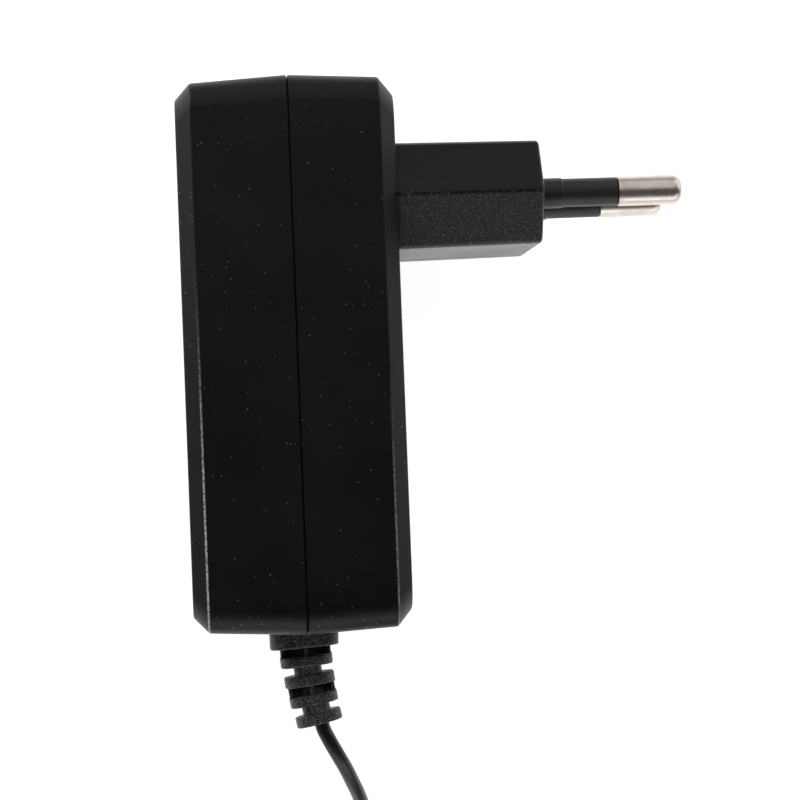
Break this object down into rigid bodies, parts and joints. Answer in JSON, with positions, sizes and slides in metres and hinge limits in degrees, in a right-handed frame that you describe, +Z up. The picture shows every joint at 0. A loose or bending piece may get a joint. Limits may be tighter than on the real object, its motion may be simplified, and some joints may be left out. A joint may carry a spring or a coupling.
{
  "type": "usb wall charger",
  "caption": "Compact plug-in USB power supply: two-half black case, flat two-pin mains plug on its back, segmented strain relief and a thin captive lead coiled to a USB plug.",
  "frame": {"origin": "middle of the underside of the box around the case and pins, as the supply lies on its side; the strain relief, lead and USB plug aren't counted", "axes": "+X the way the pins point, +Y along the long side of the case, away from the lead, +Z up, from the lower pin to the upper one"},
  "size_m": [0.0911, 0.1445, 0.04],
  "materials": {
    "case_black": "satin moulded, near black, edges rubbed paler",
    "insulator_cream": "moulded insulator",
    "board_green": "solder mask",
    "pin_nickel": "nickel plate, finely scratched",
    "sleeve_black": "matte moulded sleeve",
    "spring_brass": "stamped strip",
    "ferrite": "pressed, matte",
    "package_black": "moulded package",
    "tape_yellow": "polyester tape",
    "can_sleeve": "shrunk sleeve over a can",
    "fuse_body": "lacquered body",
    "disc_blue": "dipped disc",
    "choke_copper": "enamelled wire",
    "core_red": "insulated core",
    "relief_black": "matte, finely speckled",
    "cord_black": "soft jacket, slight sheen",
    "tie_black": "coated tie",
    "usb_black": "satin overmould",
    "usb_steel": "drawn shell"
  },
  "bodies": {
    "root": {"front_cover": "case_black", "rear_cover": "case_black", "pin_carrier": "insulator_cream", "circuit_board": "board_green", "contact_pin_upper": "pin_nickel", "contact_pin_lower": "pin_nickel", "pin_sleeve_upper": "sleeve_black", "pin_sleeve_lower": "sleeve_black", "contact_spring_upper": "spring_brass", "contact_spring_lower": "spring_brass", "transformer_core_upper": "ferrite", "transformer_core_lower": "ferrite", "transformer_bobbin": "package_black", "transformer_winding": "tape_yellow", "input_capacitor_a": "can_sleeve", "input_capacitor_b": "can_sleeve", "fuse_resistor": "fuse_body", "bridge_rectifier": "package_black", "optocoupler": "package_black", "isolation_capacitor": "disc_blue", "output_capacitor_a": "can_sleeve", "output_capacitor_b": "can_sleeve", "output_choke": "choke_copper", "output_diode": "package_black", "lead_core_a": "core_red", "lead_core_b": "cord_black", "controller_chip": "package_black", "strain_relief": "relief_black", "cord": "cord_black", "cord_coil": "cord_black", "cord_end": "cord_black", "cord_tie": "tie_black", "usb_relief": "relief_black", "usb_grip": "usb_black", "usb_shell": "usb_steel", "usb_insert": "package_black"}
  },
  "joints": []
}
